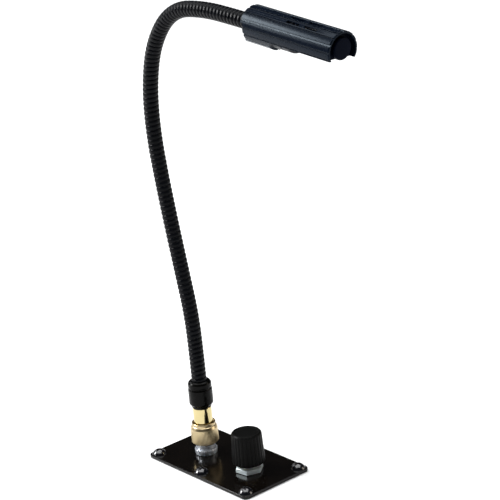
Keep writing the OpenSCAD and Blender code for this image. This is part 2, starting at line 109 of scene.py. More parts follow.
JACK_X = centre_x("jack_body")
KNOB_X = centre_x("pot_housing")
PLATE_HIGH = box_mm("mounting_plate")[1]
PLATE_TOP = PLATE_HIGH.z
HEAD_AXIS = Vector(joint("hood_turn")["axis"]).normalized()
HOOD_JOINT = 11.0
HOOD_R = 8.8
HOOD_L = 58.5
HOOD_BORE_R = 7.7
HOOD_TILT = math.atan2(HEAD_AXIS.x, HEAD_AXIS.z)
HOOD_TURN = math.radians(-2.5)
NECK_START = Vector((JACK_X, 0, box_mm("strain_sleeve")[1].z - 0.5))
NECK_R = (box_mm("neck_link_5")[1].y - box_mm("neck_link_5")[0].y) / 2
HEAD = Vector(joint("hood_turn")["pos_m"]) / MM - HEAD_AXIS * HOOD_JOINT
HEAD_FRAME = Matrix.Translation(HEAD) @ Matrix.Rotation(HOOD_TILT, 4, "Y")
HOOD_FRAME = HEAD_FRAME @ Matrix.Rotation(HOOD_TURN, 4, "Z")

# ---------------------------------------------------------------- mesh helpers, in mm

SMOOTH_ANGLE = 35.0


def polar(r, a, *rest):
    """The point at radius r and angle a, followed by any further coordinates."""
    return (r * math.cos(a), r * math.sin(a), *rest)


def to_piece(name, bm, material, body, replaces=(), smooth=SMOOTH_ANGLE, place=None):
    """Turns a bmesh in mm into a finished piece that rides on a body."""
    if place is not None:
        bmesh.ops.transform(bm, matrix=place, verts=bm.verts)
    bmesh.ops.scale(bm, vec=(MM, MM, MM), verts=bm.verts)
    bmesh.ops.recalc_face_normals(bm, faces=bm.faces)
    mesh = bpy.data.meshes.new(name)
    bm.to_mesh(mesh)
    bm.free()
    mesh.shade_smooth()
    mesh.set_sharp_from_angle(angle=math.radians(smooth))
    piece = bpy.data.objects.new(name, mesh)
    bpy.context.scene.collection.objects.link(piece)
    mesh.materials.append(material)
    if body is not None:
        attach(piece, body)
    if replaces:
        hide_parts(*replaces)
    return piece


def rounded(corners, steps=5):
    """A path through (r, z, fillet) corners, each corner rounded by its fillet radius."""
    path = []
    count = len(corners)
    for i, (r, z, fillet) in enumerate(corners):
        point = Vector((r, z))
        before = Vector(corners[i - 1][:2]) - point
        after = Vector(corners[(i + 1) % count][:2]) - point
        if fillet <= 0 or before.length < 1e-9 or after.length < 1e-9:
            path.append((r, z))
            continue
        before_dir, after_dir = before.normalized(), after.normalized()
        half = before_dir.angle(after_dir) / 2
        if half > math.radians(89):
            path.append((r, z))
            continue
        reach = min(fillet / math.tan(half), before.length * 0.49, after.length * 0.49)
        radius = reach * math.tan(half)
        middle = point + (before_dir + after_dir).normalized() * (radius / math.sin(half))
        start = point + before_dir * reach - middle
        sweep = start.angle_signed(point + after_dir * reach - middle)
        for k in range(steps + 1):
            a = -sweep * k / steps
            cos_a, sin_a = math.cos(a), math.sin(a)
            spun = Vector((start.x * cos_a - start.y * sin_a, start.x * sin_a + start.y * cos_a))
            path.append(tuple(middle + spun))
    return path


def lathe(path, segments=96, shift=None):
    """Revolves a closed (r, z) path about Z. shift(angle, r, z) may return a moved (r, z)."""
    bm = bmesh.new()
    rings = []
    for r, z in path:
        if r < 1e-6:
            rings.append([bm.verts.new((0, 0, z))])
            continue
        ring = []
        for k in range(segments):
            a = TAU * k / segments
            rr, zz = shift(a, r, z) if shift else (r, z)
            ring.append(bm.verts.new(polar(rr, a, zz)))
        rings.append(ring)
    for ring, after in zip(rings, rings[1:] + rings[:1]):
        join_rings(bm, ring, after)
    return bm


def join_rings(bm, ring, after):
    """Closes the band between two rings of vertices, either of which may be a single one."""
    count = max(len(ring), len(after))
    if count == 1:
        return
    for k in range(count):
        corners = [ring[k % len(ring)], ring[(k + 1) % len(ring)]]
        corners += [after[(k + 1) % len(after)], after[k % len(after)]]
        unique = list(dict.fromkeys(corners))
        if len(unique) > 2:
            bm.faces.new(unique)


def join_bmesh(target, source, place=None):
    """Adds source's mesh to target, moved by place."""
    if place is not None:
        bmesh.ops.transform(source, matrix=place, verts=source.verts)
    mesh = bpy.data.meshes.new("part")
    source.to_mesh(mesh)
    source.free()
    target.from_mesh(mesh)
    bpy.data.meshes.remove(mesh)


def helical_tube(path_point, radius_at, pitch, start, end, rows=12, columns=48, closed_ends=False):
    """A tube whose rows climb with a helix, so that its grooves follow mesh edges.

    path_point(s, x, y) gives the point at s along the path, and radius_at(phase, s) the radius
    there, its phase running from 0 to 1 over each turn.
    """
    bm = bmesh.new()
    step = pitch / rows
    first = math.floor((start - pitch) / step) - 1
    last = math.ceil(end / step) + 1
    grid = []
    for i in range(first, last + 1):
        row = []
        for k in range(columns):
            s = (i + rows * k / columns) * step
            s = min(max(s, start), end)
            a = TAU * k / columns
            phase = (s / pitch - k / columns) % 1.0
            x, y = polar(radius_at(phase, s), a)
            row.append(bm.verts.new(path_point(s, x, y)))
        grid.append(row)
    for i in range(len(grid) - 1):
        for k in range(columns):
            wrap = k + 1 == columns
            if wrap and i + rows + 1 >= len(grid):
                continue
            far = grid[i + rows][0] if wrap else grid[i][k + 1]
            far_up = grid[i + rows + 1][0] if wrap else grid[i + 1][k + 1]
            bm.faces.new((grid[i][k], far, far_up, grid[i + 1][k]))
    bmesh.ops.remove_doubles(bm, verts=bm.verts, dist=1e-5)
    bmesh.ops.dissolve_degenerate(bm, edges=bm.edges, dist=1e-5)
    loose = [v for v in bm.verts if not v.link_faces]
    bmesh.ops.delete(bm, geom=loose, context="VERTS")
    if closed_ends:
        edges = [e for e in bm.edges if e.is_boundary]
        bmesh.ops.holes_fill(bm, edges=edges, sides=0)
    return bm


def evaluated_bmesh(obj):
    """An object's mesh as it is after its modifiers, or a curve's filled mesh."""
    evaluated = obj.evaluated_get(bpy.context.evaluated_depsgraph_get())
    bm = bmesh.new()
    bm.from_mesh(bpy.data.meshes.new_from_object(evaluated))
    return bm


def temp_object(bm, name="temp"):
    """An object for the modifiers to work on, which the caller removes."""
    bmesh.ops.recalc_face_normals(bm, faces=bm.faces)
    mesh = bpy.data.meshes.new(name)
    bm.to_mesh(mesh)
    bm.free()
    obj = bpy.data.objects.new(name, mesh)
    bpy.context.scene.collection.objects.link(obj)
    return obj


def cut_and_bevel(bm, cutters, bevel=0.0, angle=40.0, segments=2):
    """Cuts the cutters' bmeshes out of bm, then rounds its sharp edges a little."""
    body = temp_object(bm)
    tools = [temp_object(c, "cutter") for c in cutters]
    for tool in tools:
        cut = body.modifiers.new("cut", "BOOLEAN")
        cut.operation = "DIFFERENCE"
        cut.solver = "EXACT"
        cut.object = tool
    if bevel > 0:
        edge = body.modifiers.new("edge", "BEVEL")
        edge.width = bevel
        edge.segments = segments
        edge.limit_method = "ANGLE"
        edge.angle_limit = math.radians(angle)
    result = evaluated_bmesh(body)
    for obj in tools + [body]:
        bpy.data.objects.remove(obj)
    return result


def block(low, high):
    """A box between two corners."""
    bm = bmesh.new()
    low, high = Vector(low), Vector(high)
    middle = Matrix.Translation((low + high) / 2)
    stretch = Matrix.Diagonal((*(high - low), 1))
    bmesh.ops.create_cube(bm, size=1, matrix=middle @ stretch)
    return bm


def prism(outline, z0, z1):
    """A closed outline in x and y, extruded from z0 to z1."""
    bm = bmesh.new()
    lower = [bm.verts.new((x, y, z0)) for x, y in outline]
    upper = [bm.verts.new((x, y, z1)) for x, y in outline]
    bm.faces.new(lower)
    bm.faces.new(upper)
    join_rings(bm, lower, upper)
    return bm


# ---------------------------------------------------------------- materials


class Graph:
    """A small helper that adds and links shader nodes."""

    def __init__(self, name):
        self.material = bpy.data.materials.new(name)
        self.material.use_nodes = True
        self.nodes = self.material.node_tree.nodes
        self.links = self.material.node_tree.links
        self.shader = self.nodes["Principled BSDF"]
        self.coords = self.nodes.new("ShaderNodeTexCoord").outputs["Object"]

    def mapped(self, scale, rotation=(0, 0, 0)):
        node = self.nodes.new("ShaderNodeMapping")
        node.inputs["Scale"].default_value = scale
        node.inputs["Rotation"].default_value = rotation
        self.links.new(self.coords, node.inputs["Vector"])
        return node.outputs["Vector"]

    def noise(self, vector, scale, detail=4.0, roughness=0.5):
        node = self.nodes.new("ShaderNodeTexNoise")
        node.inputs["Scale"].default_value = scale
        node.inputs["Detail"].default_value = detail
        node.inputs["Roughness"].default_value = roughness
        self.links.new(vector, node.inputs["Vector"])
        return node.outputs["Fac"]

    def spread(self, value, low, high, start=0.3, end=0.7):
        node = self.nodes.new("ShaderNodeMapRange")
        node.inputs["From Min"].default_value = start
        node.inputs["From Max"].default_value = end
        node.inputs["To Min"].default_value = low
        node.inputs["To Max"].default_value = high
        self.links.new(value, node.inputs["Value"])
        return node.outputs["Result"]

    def blend_colors(self, factor, first, second):
        node = self.nodes.new("ShaderNodeMix")
        node.data_type = "RGBA"
        colors = {"A": (*first, 1), "B": (*second, 1)}
        for socket in node.inputs:
            if socket.name in colors and socket.type == "RGBA":
                socket.default_value = colors[socket.name]
        self.links.new(factor, node.inputs[0])
        return next(socket for socket in node.outputs if socket.type == "RGBA")

    def bump(self, height, strength, depth):
        node = self.nodes.new("ShaderNodeBump")
        node.inputs["Strength"].default_value = strength
        node.inputs["Distance"].default_value = depth
        self.links.new(height, node.inputs["Height"])
        self.links.new(node.outputs["Normal"], self.shader.inputs["Normal"])

    def set(self, **values):
        for name, value in values.items():
            self.shader.inputs[name.replace("_", " ")].default_value = value

    def feed(self, name, output):
        self.links.new(output, self.shader.inputs[name])


def shade(color, factor):
    """A darker or lighter colour, each channel held at 1 or below."""
    return tuple(min(1.0, c * factor) for c in color)


def plain_surface(name, color, rough, metallic=0.0, grain=1500.0, grain_depth=0.00001, variation=0.25,
                  rough_spread=0.08, stretch=(1, 1, 1), rotation=(0, 0, 0), **settings):
    """A surface with drifting colour, uneven gloss and fine grain.

    stretch multiplies the grain's coordinates, so the grain is long where it is low and short
    where it is high. rotation turns those coordinates.
    """
    g = Graph(name)
    drift = g.noise(g.mapped((1, 1, 1)), 90.0, 3.0)
    patches = g.noise(g.mapped((1, 1, 1)), 420.0, 5.0, 0.6)
    fine = g.noise(g.mapped(stretch, rotation), grain, 4.0, 0.6)
    dark, light = shade(color, 1 - variation), shade(color, 1 + variation)
    g.feed("Base Color", g.blend_colors(g.spread(drift, 0, 1), dark, light))
    smoothest, roughest = max(0.02, rough - rough_spread), rough + rough_spread
    g.feed("Roughness", g.spread(patches, smoothest, roughest, 0.35, 0.65))
    g.bump(fine, 0.6, grain_depth)
    g.set(Metallic=metallic, **settings)
    return g.material


def glass_surface():
    g = Graph("lamp_quartz")
    smear = g.noise(g.mapped((1, 1, 1)), 260.0, 3.0)
    tint = g.blend_colors(g.spread(smear, 0, 1), (0.93, 0.96, 0.98), (0.99, 1.0, 1.0))
    g.feed("Base Color", tint)
    g.feed("Roughness", g.spread(smear, 0.01, 0.06))
    g.set(Transmission_Weight=1.0, IOR=1.46, Alpha=0.55)
    return g.material


TURNED = (1, 1, 40)
CAN_LINES = (1, 1, 8)
HOOD_LINES = (14, 14, 0.6)
HOOD_GRAIN_TURN = (0, -HOOD_TILT, 0)
SLATE = (0.62, 0.82, 1.0, 1)

M = {
    "plate": plain_surface(
        "plate_gloss_black", (0.0024, 0.0018, 0.0014), 0.17, grain=700, grain_depth=0.0000015,
        rough_spread=0.03, Specular_IOR_Level=0.2),
    "screw": plain_surface(
        "screw_black_oxide", (0.003, 0.003, 0.005), 0.17, grain=2600, grain_depth=0.000003,
        rough_spread=0.03, Specular_IOR_Level=0.9),
    "nickel": plain_surface(
        "bright_nickel", (0.72, 0.75, 0.8), 0.34, metallic=0.7, grain=900, variation=0.08,
        grain_depth=0.000002, stretch=TURNED),
    "nut": plain_surface(
        "nut_zinc", (0.8, 0.9, 0.97), 0.4, metallic=0.35, grain=1400, variation=0.1,
        grain_depth=0.000003),
    "tag": plain_surface("tinned_brass", (0.66, 0.6, 0.42), 0.35, metallic=1.0, variation=0.18),
    "ptfe": plain_surface(
        "white_ptfe", (0.82, 0.81, 0.77), 0.45, variation=0.04, Subsurface_Weight=0.1),
    "gold": plain_surface(
        "gold_contact", (0.85, 0.6, 0.24), 0.2, metallic=1.0, variation=0.08, stretch=TURNED),
    "pot_can": plain_surface(
        "plated_can", (0.5, 0.51, 0.53), 0.32, metallic=1.0, variation=0.12, grain=1800,
        stretch=CAN_LINES),
    "phenolic": plain_surface("phenolic_board", (0.12, 0.065, 0.035), 0.5, variation=0.2),
    "wire_red": plain_surface("wire_red_pvc", (0.4, 0.03, 0.02), 0.42, variation=0.12),
    "wire_black": plain_surface("wire_black_pvc", (0.015, 0.015, 0.016), 0.42, variation=0.2),
    "knob": plain_surface(
        "knob_satin_abs", (0.0042, 0.0042, 0.004), 0.36, grain=3200, grain_depth=0.000008,
        rough_spread=0.04, Specular_IOR_Level=0.05),
    "screw_steel": plain_surface("set_screw_steel", (0.2, 0.2, 0.21), 0.35, metallic=1.0),
    "gasket": plain_surface("silicone_gasket", (0.26, 0.045, 0.03), 0.55),
    "spring": plain_surface("spring_steel", (0.55, 0.56, 0.57), 0.28, metallic=1.0, variation=0.1),
    "ring": plain_surface(
        "ring_champagne", (0.52, 0.42, 0.25), 0.32, metallic=1.0, grain=2400, variation=0.08,
        grain_depth=0.000008, rough_spread=0.04),
    "barrel": plain_surface(
        "barrel_pale_gold", (0.57, 0.48, 0.25), 0.08, metallic=1.0, grain=600, variation=0.04,
        grain_depth=0.000001, rough_spread=0.02, stretch=TURNED),
    "sleeve": plain_surface(
        "sleeve_rubber", (0.0012, 0.0011, 0.0009), 0.24, grain=800, grain_depth=0.00006,
        rough_spread=0.05, Specular_IOR_Level=0.08),
    "neck": plain_surface(
        "neck_satin_black", (0.0014, 0.0018, 0.003), 0.3, grain=2200, grain_depth=0.000008,
        rough_spread=0.05, Specular_IOR_Level=0.08),
    "socket": plain_surface(
        "socket_moulded", (0.004, 0.005, 0.009), 0.42, grain=2600, Specular_IOR_Level=0.2),
    "ceramic": plain_surface("steatite", (0.78, 0.76, 0.7), 0.5, variation=0.05),
    "glass": glass_surface(),
    "tungsten": plain_surface("tungsten", (0.35, 0.35, 0.37), 0.4, metallic=1.0),
    "hood": plain_surface(
        "hood_blue_black", (0.0014, 0.0034, 0.0086), 0.27, grain=420, grain_depth=0.0000015,
        variation=0.12, stretch=HOOD_LINES, rotation=HOOD_GRAIN_TURN, rough_spread=0.02,
        Specular_IOR_Level=0.11, Specular_Tint=SLATE),
    "cap": plain_surface(
        "cap_blue_black", (0.0006, 0.0013, 0.006), 0.42, grain=2400, grain_depth=0.000006,
        rough_spread=0.03, Specular_IOR_Level=0.03, Specular_Tint=SLATE),
}

# ---------------------------------------------------------------- base

PLATE_CORNER_R = 2.8
PLATE_EDGE = 0.22
SCREW_HEAD_R = 3.8
SCREW_HEAD_H = 2.6
SCREW_R = 2.0
SCREW_PITCH = 0.7
SCREW_TIP = 11.9
SCREW_NECK_L = 2.2
SCREW_NECK_R = SCREW_R - 0.42
THREAD_DEPTH = 0.28
SCREW_SPAN_X = 35.1
SCREW_SPAN_Y = 17.6
SCREW_PLACES = [(x * SCREW_SPAN_X, y * SCREW_SPAN_Y) for x in (-1, 0, 1) for y in (-1, 1)]
SCREW_HOLE_R = SCREW_R + 0.15
JACK_HOLE_R = 4.85
POT_HOLE_R = 3.55
RECESS_ARM_W = 0.42
RECESS_ARM_L = 1.85
RECESS_DEPTH = 1.25


def circle_points(x, y, r, count):
    spokes = [polar(r, TAU * k / count) for k in range(count)]
    return [(x + dx, y + dy) for dx, dy in spokes]


def plate_outline(inset=0.0):
    """The plate's rectangle with round corners, drawn in by inset on every side."""
    half_l, half_w = PLATE_HIGH.x - inset, PLATE_HIGH.y - inset
    r = PLATE_CORNER_R - inset
    points = []
    for quarter, (sx, sy) in enumerate(((1, 1), (-1, 1), (-1, -1), (1, -1))):
        for k in range(13):
            dx, dy = polar(r, TAU / 4 * (quarter + k / 12))
            points.append((sx * (half_l - r) + dx, sy * (half_w - r) + dy))
    return points


def make_plate():
    """The plate, with rounded corners, rounded edges and its eight holes."""
    curve = bpy.data.curves.new("plate_outline", "CURVE")
    curve.dimensions = "2D"
    curve.fill_mode = "BOTH"
    curve.extrude = PLATE_TOP / 2 - PLATE_EDGE
    curve.bevel_depth = PLATE_EDGE
    curve.bevel_resolution = 2
    loops = [plate_outline(PLATE_EDGE)]
    loops += [circle_points(x, y, SCREW_HOLE_R + PLATE_EDGE, 32) for x, y in SCREW_PLACES]
    loops.append(circle_points(JACK_X, 0, JACK_HOLE_R + PLATE_EDGE, 48))
    loops.append(circle_points(KNOB_X, 0, POT_HOLE_R + PLATE_EDGE, 48))
    for loop in loops:
        spline = curve.splines.new("POLY")
        spline.points.add(len(loop) - 1)
        for point, (x, y) in zip(spline.points, loop):
            point.co = (x, y, 0, 1)
        spline.use_cyclic_u = True
    holder = bpy.data.objects.new("plate_holder", curve)
    bpy.context.scene.collection.objects.link(holder)
    bm = evaluated_bmesh(holder)
    bpy.data.objects.remove(holder)
    bmesh.ops.remove_doubles(bm, verts=bm.verts, dist=1e-4)
    place = Matrix.Translation((0, 0, PLATE_TOP / 2))
    piece = to_piece("plate_enamelled", bm, M["plate"], "base", ["mounting_plate"],
                     30, place)
    keep_faces_flat(piece.data)


def keep_faces_flat(mesh):
    """Makes the edges around the level faces sharp, so that the faces mirror without bending."""
    bm = bmesh.new()
    bm.from_mesh(mesh)
    for edge in bm.edges:
        level = [abs(face.normal.z) > 0.9999 for face in edge.link_faces]
        if any(level) and not all(level):
            edge.smooth = False
    bm.to_mesh(mesh)
    bm.free()


def cross_recess(x, y):
    """Depth factor, 0 to 1, of a cross recess with softened walls."""
    u, v = abs(x), abs(y)
    arm, reach = min(u, v), max(u, v)
    width = RECESS_ARM_W + 0.25 * max(0.0, 1 - reach / 0.9)
    side = np.clip((width - arm) / 0.12, 0, 1)
    end = np.clip((RECESS_ARM_L - reach) / 0.25, 0, 1)
    return float(side * end)


def screw_head_height(x, y):
    """Height of the domed head, less its recess, which is shallower towards the arms' ends."""
    dome_r = (SCREW_HEAD_R**2 + SCREW_HEAD_H**2) / (2 * SCREW_HEAD_H)
    r = math.hypot(x, y)
    dome = SCREW_HEAD_H - dome_r + math.sqrt(max(0.0, dome_r**2 - r * r))
    depth = RECESS_DEPTH * (1 - 0.35 * min(1.0, r / 1.75))
    return max(dome, 0.0) - depth * cross_recess(x, y)


def screw_bmesh(turn):
    """A pan-head screw with a cross recess and a rolled thread, its head's underside at z 0."""
    rings, segments = 44, 96
    bm = bmesh.new()
    loops = [[bm.verts.new((0, 0, screw_head_height(0, 0)))]]
    for i in range(1, rings + 1):
        loop = []
        for x, y in circle_points(0, 0, SCREW_HEAD_R * math.sqrt(i / rings), segments):
            loop.append(bm.verts.new((x, y, screw_head_height(x, y))))
        loops.append(loop)
    for r in (SCREW_HEAD_R + 0.02, SCREW_HEAD_R - 0.12, SCREW_R):
        loops.append([bm.verts.new((x, y, 0)) for x, y in circle_points(0, 0, r, segments)])
    for ring, after in zip(loops, loops[1:]):
        join_rings(bm, ring, after)

    def thread_radius(phase, s):
        above = SCREW_TIP - s
        if above < SCREW_NECK_L:
            return SCREW_NECK_R
        fade = min(1.0, s / 1.2, (above - SCREW_NECK_L) / 0.5)
        crest = abs(phase - 0.5) * 2
        point = min(1.0, 0.5 + 0.5 * s)
        return (SCREW_R - 0.02 - THREAD_DEPTH * fade * crest) * point

    shank = helical_tube(lambda s, x, y: (x, y, s - SCREW_TIP), thread_radius, SCREW_PITCH,
                         0.0, SCREW_TIP, rows=8, columns=32, closed_ends=True)
    join_bmesh(bm, shank)
    bmesh.ops.rotate(bm, cent=(0, 0, 0), matrix=Matrix.Rotation(turn, 3, "Z"), verts=bm.verts)
    return bm


def make_screws():
    """All the plate's screws in one piece, each turned to a different angle."""
    whole = bmesh.new()
    for i, (x, y) in enumerate(SCREW_PLACES):
        turn = 0.35 + 0.9 * i
        join_bmesh(whole, screw_bmesh(turn), Matrix.Translation((x, y, PLATE_TOP)))
    to_piece("plate_screws_threaded", whole, M["screw"], "base",
             ["plate_screws"], 50)


def nut_bmesh(across_flats, bore_r, z0, z1, turn):
    """A hexagon nut: flats, a chamfered crown, a countersunk bore and a flat seat."""
    flat_r = across_flats / 2
    crown_r = flat_r * 0.97
    soft, foot, sink = 0.08, 0.12, 0.35
    bm = bmesh.new()
    columns = 144
    rows = []
    for k in range(columns):
        a = TAU * k / columns
        corner_r = flat_r / math.cos((a % (TAU / 6)) - TAU / 12)
        brow = z1 - max(0.0, corner_r - crown_r) * math.tan(math.radians(30))
        column = [(bore_r, z0), (bore_r, z1 - sink), (bore_r + sink, z1), (crown_r - 0.1, z1),
                  (crown_r, z1 - 0.02), (corner_r - soft, brow - 0.01), (corner_r, brow - soft),
                  (corner_r, z0 + foot), (corner_r - foot, z0)]
        rows.append([bm.verts.new(polar(r, a + turn, z)) for r, z in column])
    for row, after in zip(rows, rows[1:] + rows[:1]):
        join_rings(bm, row, after)
    return bm


def make_dimmer_nut():
    """The hexagon nut under the knob."""
    low, high = box_mm("pot_nut")
    bm = nut_bmesh(across_flats=12.7, bore_r=POT_HOLE_R - 0.02, z0=low.z, z1=high.z,
                   turn=math.radians(8))
    to_piece("dimmer_nut_hex", bm, M["nut"], "base", ["pot_nut"], 22,
             Matrix.Translation((KNOB_X, 0, 0)))


def make_jack_nut():
    """A round nut with a countersunk bore and a ring of narrow slots down its side."""
    low, high = box_mm("jack_nut")
    z0, z1, r = low.z, high.z, (high.x - low.x) / 2
    bore_r = JACK_HOLE_R - 0.02
    slot_half, slot_depth = 0.4, 0.45
    corners = [(bore_r, z0, 0), (r, z0, 0.15), (r, z1, 0.45), (5.2, z1, 0.1), (bore_r, z1 - 0.35, 0)]
    slots = []
    for k in range(12):
        slot = block((r - slot_depth, -slot_half, z0 - 1), (r + 1, slot_half, z1 + 1))
        turn = Matrix.Rotation(math.radians(9 + 30 * k), 4, "Z")
        bmesh.ops.transform(slot, matrix=turn, verts=slot.verts)
        slots.append(slot)
    bm = cut_and_bevel(lathe(rounded(corners, 3), 144), slots, bevel=0.07, angle=50)
    to_piece("jack_nut_slotted", bm, M["nickel"], "base", ["jack_nut"], 30,
             Matrix.Translation((JACK_X, 0, 0)))


# ---------------------------------------------------------------- knob

KNOB_FLUTES = 26
KNOB_FLUTE_DEPTH = 0.34


def make_knob():
    """The tapered knob: rounded flutes, a bevelled crown and a shallow dish in its top."""
    low, high = box_mm("dimmer_knob")
    z0, z1 = low.z, high.z
    r_low, r_top = 8.55, 7.9

    def flute(a, r, z):
        if r < 7.0 or z > z1 - 0.45:
            return r, z
        fade = min(1.0, max(0.0, (z1 - 0.5 - z) / 0.8)) * min(1.0, max(0.0, (z - z0) / 0.3))
        wave = abs(math.sin(a * KNOB_FLUTES / 2)) ** 0.55
        return r - KNOB_FLUTE_DEPTH * fade * (1 - wave), z

    steps = 14
    side = []
    for k in range(steps, -1, -1):
        r = r_low + (r_top - r_low) * k / steps
        side.append((r, z0 + 0.4 + (z1 - 1.5 - z0) * k / steps, 0))
    hollow = [(4.3, z0 + 1.4, 0), (4.3, z1 - 3.0, 0), (0, z1 - 3.0, 0)]
    dish = [(0, z1 - 0.4, 0), (3.0, z1 - 0.38, 0), (r_top - 1.7, z1 - 0.3, 0.3)]
    crown = [(r_top - 1.3, z1, 0.25), (r_top - 0.75, z1, 0.4), (r_top - 0.08, z1 - 0.75, 0.4)]
    foot = [(r_low - 0.35, z0, 0.2), (r_low - 1.3, z0, 0.2), (r_low - 1.5, z0 + 1.4, 0)]
    bm = lathe(rounded(hollow + dish + crown + side + foot, 4), KNOB_FLUTES * 16, flute)
    to_piece("dimmer_knob_fluted", bm, M["knob"], "knob", ["dimmer_knob"], 40,
             Matrix.Translation((KNOB_X, 0, 0)))


# ---------------------------------------------------------------- plug

RING_TEETH = 66
RING_TOOTH_DEPTH = 0.17
RING_GRIP_DROP = 3.25
FLANGE_LOW = 16.1
FLANGE_HIGH = 16.9
CRIMP_Z = 35.0


def make_coupling_ring():
    """The knurled ring: a toothed grip, a chamfered shoulder, a groove and a rim."""
    low, high = box_mm("coupling_ring")
    z0, z1 = low.z, high.z
    r = (high.x - low.x) / 2
    grip_top = z1 - RING_GRIP_DROP

    def knurl(a, rr, z):
        if rr < r - 0.12 or not z0 + 0.8 < z < grip_top - 0.5:
            return rr, z
        tooth = abs(((a * RING_TEETH / TAU) % 1.0) - 0.5) * 2
        return rr - RING_TOOTH_DEPTH * tooth, z

    side = [(r, z0 + 0.95 + (grip_top - z0 - 1.4) * k / 3, 0) for k in range(4)]
    foot = [(5.65, z0, 0.1), (r - 0.9, z0, 0.3), (r, z0 + 0.85, 0.5)]
    shoulder = [(r, grip_top, 0.4), (r - 0.6, grip_top + 1.35, 0.12)]
    groove = [(r - 0.72, grip_top + 1.45, 0.05), (r - 0.93, grip_top + 1.62, 0.08),
              (r - 0.93, grip_top + 1.88, 0.08), (r - 0.78, grip_top + 2.02, 0.08)]
    rim = [(r - 0.78, z1 - 0.4, 0.25), (r - 1.05, z1, 0.15), (r - 1.3, z1, 0.15)]
    bore = [(r - 1.5, z1 - 0.85, 0.12), (5.08, z1 - 0.85, 0.05), (5.08, z1 - 1.4, 0),
            (5.65, z1 - 1.4, 0)]
    path = rounded(foot + side + shoulder + groove + rim + bore, 5)
    bm = lathe(path, RING_TEETH * 8, knurl)
    to_piece("coupling_ring_knurled", bm, M["ring"], "ring", ["coupling_ring"], 35,
             Matrix.Translation((JACK_X, 0, 0)))


def make_plug_barrel():
    """The plug's body: a nose in the jack, a flange inside the ring, the barrel and its tail."""
    low, high = box_mm("plug_body")
    ring_top = box_mm("coupling_ring")[1].z
    top = box_mm("strain_sleeve")[0].z
    nose = [(2.6, low.z, 0.1), (4.04, low.z, 0.2), (4.04, FLANGE_LOW, 0)]
    flange = [(5.5, FLANGE_LOW, 0), (5.5, FLANGE_HIGH, 0), (4.99, FLANGE_HIGH, 0)]
    barrel = [(4.99, ring_top - 0.3, 0), (4.99, top - 0.3, 0.1), (4.88, top, 0.08)]
    tail = [(4.3, top, 0), (4.3, high.z, 0), (3.25, high.z, 0)]
    bore = [(3.25, top - 2, 0), (2, top - 2, 0), (2, FLANGE_LOW, 0), (2.6, FLANGE_LOW, 0)]
    corners = nose + flange + barrel + tail + bore
    to_piece("plug_barrel_polished", lathe(rounded(corners, 6), 128), M["barrel"], "plug",
             ["plug_body"], 30, Matrix.Translation((JACK_X, 0, 0)))


def make_sleeve():
    """The rubber sleeve: a narrow foot, a body, a groove and a rolled collar, a little uneven."""
    low, high = box_mm("strain_sleeve")
    z0, z1 = low.z, high.z
    r = (high.x - low.x) / 2 - 0.08

    def uneven(a, rr, z):
        if rr < 4.6:
            return rr, z
        spot = Vector(polar(rr, a, z))
        lump = noise.noise(spot * 0.55) * 0.05 + noise.noise(spot * 1.9) * 0.045
        lump += noise.noise(spot * 4.5) * 0.02
        band = 1.0 if z < z1 - 4 else 0.35
        return rr + lump * band, z

    body = [(r, z0 + 2.6 + (z1 - z0 - 7.2) * k / 30, 0) for k in range(31)]
    foot = [(4.3, z0, 0), (5.1, z0, 0.15), (5.2, z0 + 1.0, 0.4), (r - 0.12, z0 + 2.1, 0.6)]
    groove = [(r - 0.42, z1 - 3.95, 0.2), (r - 0.45, z1 - 3.55, 0.12)]
    collar = [(r - 0.15, z1 - 3.1, 0.3), (r - 0.2, z1 - 1.3, 0.5), (r - 0.75, z1 - 0.45, 0.4),
              (r - 1.5, z1, 0.3)]
    bore = [(NECK_R + 0.02, z1, 0.1), (NECK_R + 0.02, CRIMP_Z, 0), (4.3, CRIMP_Z, 0)]
    bm = lathe(rounded(foot + body + groove + collar + bore, 5), 160, uneven)
    to_piece("neck_sleeve_grained", bm, M["sleeve"], "plug", ["strain_sleeve"], 60,
             Matrix.Translation((JACK_X, 0, 0)))


# ---------------------------------------------------------------- neck

RIB_PITCH = 2.45
RIB_DEPTH = 0.62
BENDS = 10
OVERLAP_PLUG = 0.8
OVERLAP_HEAD = 1.5
CHAIN = ["plug"] + [f"neck_{i}" for i in range(2, BENDS + 1)] + ["head"]


def neck_knots():
    """The points at the neck's start, joints and end, and its lean forward at each, in radians."""
    points = [NECK_START]
    points += [Vector(joint(f"neck_bend_{k}")["pos_m"]) / MM for k in range(1, BENDS + 1)]
    points.append(HEAD)
    headings = [0.0]
    for a, b in zip(points, points[1:]):
        chord = math.atan2(b.x - a.x, b.z - a.z)
        headings.append(2 * chord - headings[-1])
    return points, headings


KNOTS, HEADINGS = neck_knots()


def link_length(i):
    """The length of the arc between two knots."""
    chord = (KNOTS[i + 1] - KNOTS[i]).length
    half = (HEADINGS[i + 1] - HEADINGS[i]) / 2
    return chord if abs(half) < 1e-6 else chord * half / math.sin(half)


LENGTHS = [link_length(i) for i in range(len(KNOTS) - 1)]
REACH = [sum(LENGTHS[:i]) for i in range(len(LENGTHS) + 1)]


def neck_point(s, x=0.0, y=0.0):
    """A point beside the neck's centre line: s along it, x towards the front side, y across."""
    i = min(max(int(np.searchsorted(REACH, s, "right")) - 1, 0), len(LENGTHS) - 1)
    along = s - REACH[i]
    turn = (HEADINGS[i + 1] - HEADINGS[i]) / LENGTHS[i]
    h = HEADINGS[i] + turn * along
    mid = HEADINGS[i] + turn * along / 2
    chord = along if abs(turn * along) < 1e-9 else math.sin(turn * along / 2) / (turn / 2)
    base = KNOTS[i] + Vector((math.sin(mid), 0, math.cos(mid))) * chord
    return base + Vector((math.cos(h), 0, -math.sin(h))) * x + Vector((0, 1, 0)) * y


